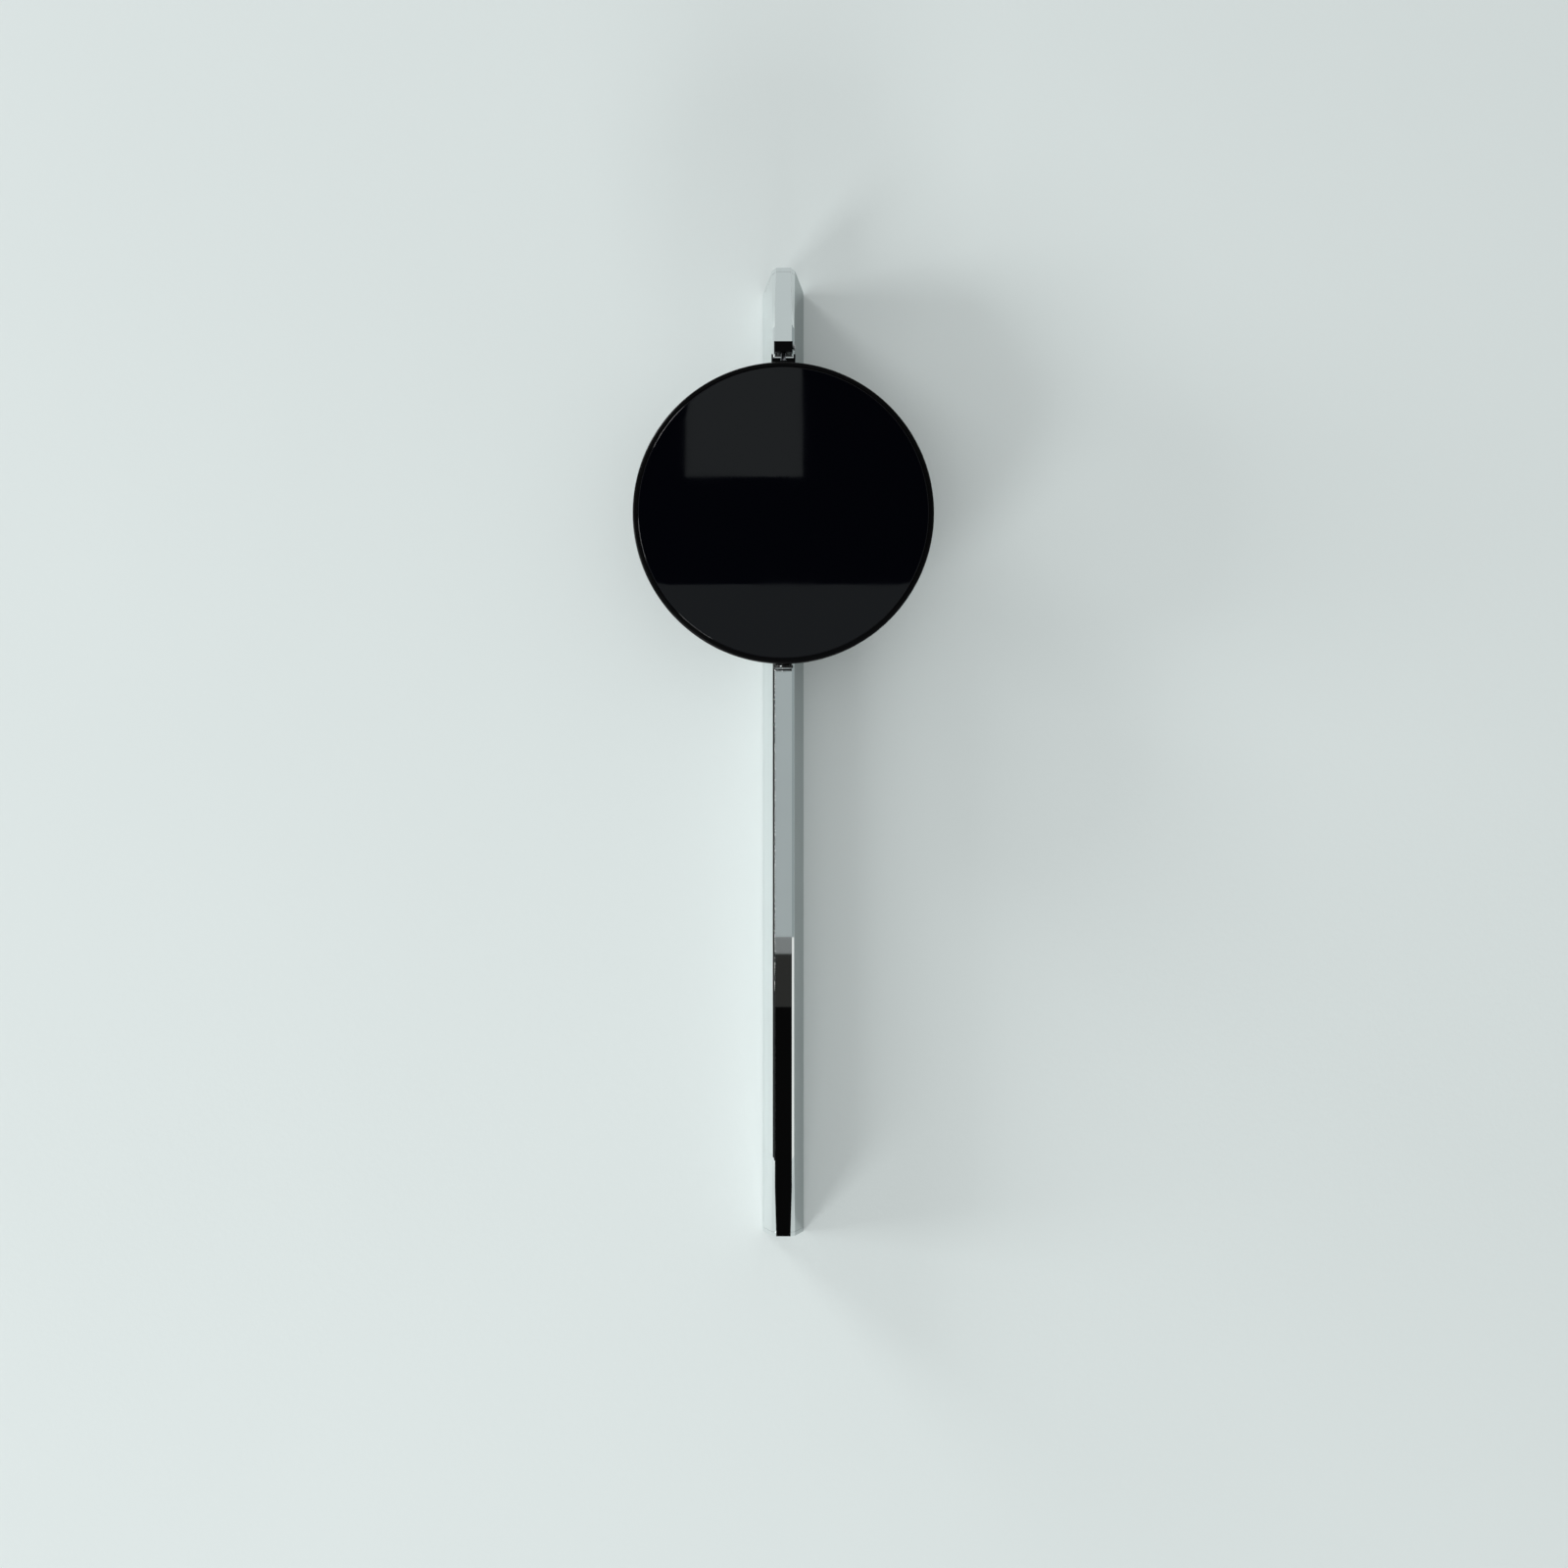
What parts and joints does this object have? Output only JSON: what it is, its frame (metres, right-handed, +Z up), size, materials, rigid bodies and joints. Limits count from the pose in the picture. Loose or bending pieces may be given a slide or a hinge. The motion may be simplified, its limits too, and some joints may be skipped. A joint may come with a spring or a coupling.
{
  "type": "pendulum wall clock",
  "caption": "Wall clock with a round glossy black head that hangs from a spring in front of a tall chrome wall bar and swings as its own pendulum.",
  "frame": {"origin": "on the wall, on the back face of the wall rail, level with the centre of the clock head", "axes": "+Z up along the bar, +Y into the wall, +X to the right as seen from the front; the clock faces -Y"},
  "size_m": [0.244, 0.0746, 0.808],
  "materials": {
    "chrome": "polished, mirror-like",
    "steel": "plain bright steel",
    "spring_steel": "blued spring steel",
    "brass": "turned brass",
    "copper": null,
    "smoked_gloss": "near-opaque black smoked lens, high gloss",
    "black_gloss": "black high gloss",
    "black_satin": "satin black lacquer",
    "black_plastic": "moulded, fine texture",
    "white_plastic": "natural acetal",
    "rubber": "matte",
    "board": "green solder resist on glass-fibre board",
    "magnet": "nickel-plated magnet",
    "cell": "plain printed sleeve, no text"
  },
  "bodies": {
    "spine": {"spine_housing": "chrome", "top_cap": "chrome", "bottom_cap": "chrome", "wall_rail": "steel", "hanger_bar_upper": "steel", "hanger_bar_lower": "steel", "lock_screw": "steel", "suspension_block": "black_satin", "clamp_screw": "steel", "block_screw_left": "steel", "block_screw_right": "steel", "drive_bobbin": "white_plastic", "drive_winding": "copper", "drive_board": "board", "battery_holder": "black_plastic", "spine_battery": "cell"},
    "head": {"cross_pin": "chrome", "hanger_screw_left": "steel", "hanger_screw_right": "steel", "contact_positive": "steel", "contact_negative": "steel", "motor_stator": "steel", "motor_core": "steel", "crystal_can": "steel", "rating_rod": "steel", "suspension_spring": "spring_steel", "bush_nut": "brass", "motor_winding": "copper", "front_lens": "smoked_gloss", "hour_markers": "black_gloss", "bezel": "black_satin", "hanger_plate": "black_satin", "dial_plate": "black_satin", "rear_case": "black_plastic", "rod_block": "black_plastic", "movement_base": "black_plastic", "movement_cover": "black_plastic", "driver_chip": "black_plastic", "motor_bobbin": "white_plastic", "lens_gasket": "rubber", "rubber_washer": "rubber", "circuit_board": "board", "drive_magnet": "magnet", "head_battery": "cell"},
    "minute": {"minute_arbor": "brass", "minute_hand": "black_satin", "hand_cap": "black_satin"},
    "hour": {"hour_wheel": "white_plastic", "hour_hand": "black_satin"},
    "motion": {"motion_wheel": "white_plastic", "setting_knob": "black_plastic"},
    "centre_wheel": {"centre_wheel": "white_plastic"},
    "third_wheel": {"third_wheel": "white_plastic"},
    "second_wheel": {"second_wheel": "white_plastic"},
    "intermediate_wheel": {"intermediate_wheel": "white_plastic"},
    "rotor": {"rotor": "magnet"},
    "rating_nut": {"rating_nut": "black_gloss", "nut_screw": "chrome"}
  },
  "joints": [
    {"name": "pendulum_swing", "type": "hinge", "parent": "spine", "child": "head", "pos_m": [0, -0.048, 0.1375], "axis": [0, 1, 0], "range_deg": [-5, 5]},
    {"name": "minute_turn", "type": "hinge", "parent": "head", "child": "minute", "pos_m": [0, -0.06, 0], "axis": [0, 1, 0], "continuous": true},
    {"name": "hour_turn", "type": "hinge", "parent": "head", "child": "hour", "pos_m": [0, -0.064, 0], "axis": [0, 1, 0], "continuous": true},
    {"name": "motion_turn", "type": "hinge", "parent": "head", "child": "motion", "pos_m": [-0.00902, -0.055, -0.00328], "axis": [0, 1, 0], "continuous": true},
    {"name": "rotor_turn", "type": "hinge", "parent": "head", "child": "rotor", "pos_m": [-0.00864, -0.055, 0.01273], "axis": [0, 1, 0], "continuous": true},
    {"name": "intermediate_turn", "type": "hinge", "parent": "head", "child": "intermediate_wheel", "pos_m": [-0.00344, -0.055, 0.01365], "axis": [0, 1, 0], "continuous": true},
    {"name": "second_turn", "type": "hinge", "parent": "head", "child": "second_wheel", "pos_m": [0.00251, -0.055, 0.01205], "axis": [0, 1, 0], "continuous": true},
    {"name": "third_turn", "type": "hinge", "parent": "head", "child": "third_wheel", "pos_m": [0.00689, -0.055, 0.00579], "axis": [0, 1, 0], "continuous": true},
    {"name": "centre_turn", "type": "hinge", "parent": "head", "child": "centre_wheel", "pos_m": [0, -0.057, 0], "axis": [0, 1, 0], "continuous": true},
    {"name": "rating_turn", "type": "hinge", "parent": "head", "child": "rating_nut", "pos_m": [0, -0.06, -0.1237], "axis": [0, 0, 1], "continuous": true}
  ],
  "couplings": [
    {"joint": "hour_turn", "follows": "minute_turn", "ratio": 0.083333},
    {"joint": "motion_turn", "follows": "minute_turn", "ratio": -0.33333},
    {"joint": "intermediate_turn", "follows": "rotor_turn", "ratio": -0.2},
    {"joint": "second_turn", "follows": "rotor_turn", "ratio": 0.033333},
    {"joint": "third_turn", "follows": "rotor_turn", "ratio": -0.0044444},
    {"joint": "centre_turn", "follows": "rotor_turn", "ratio": 0.00055556}
  ]
}
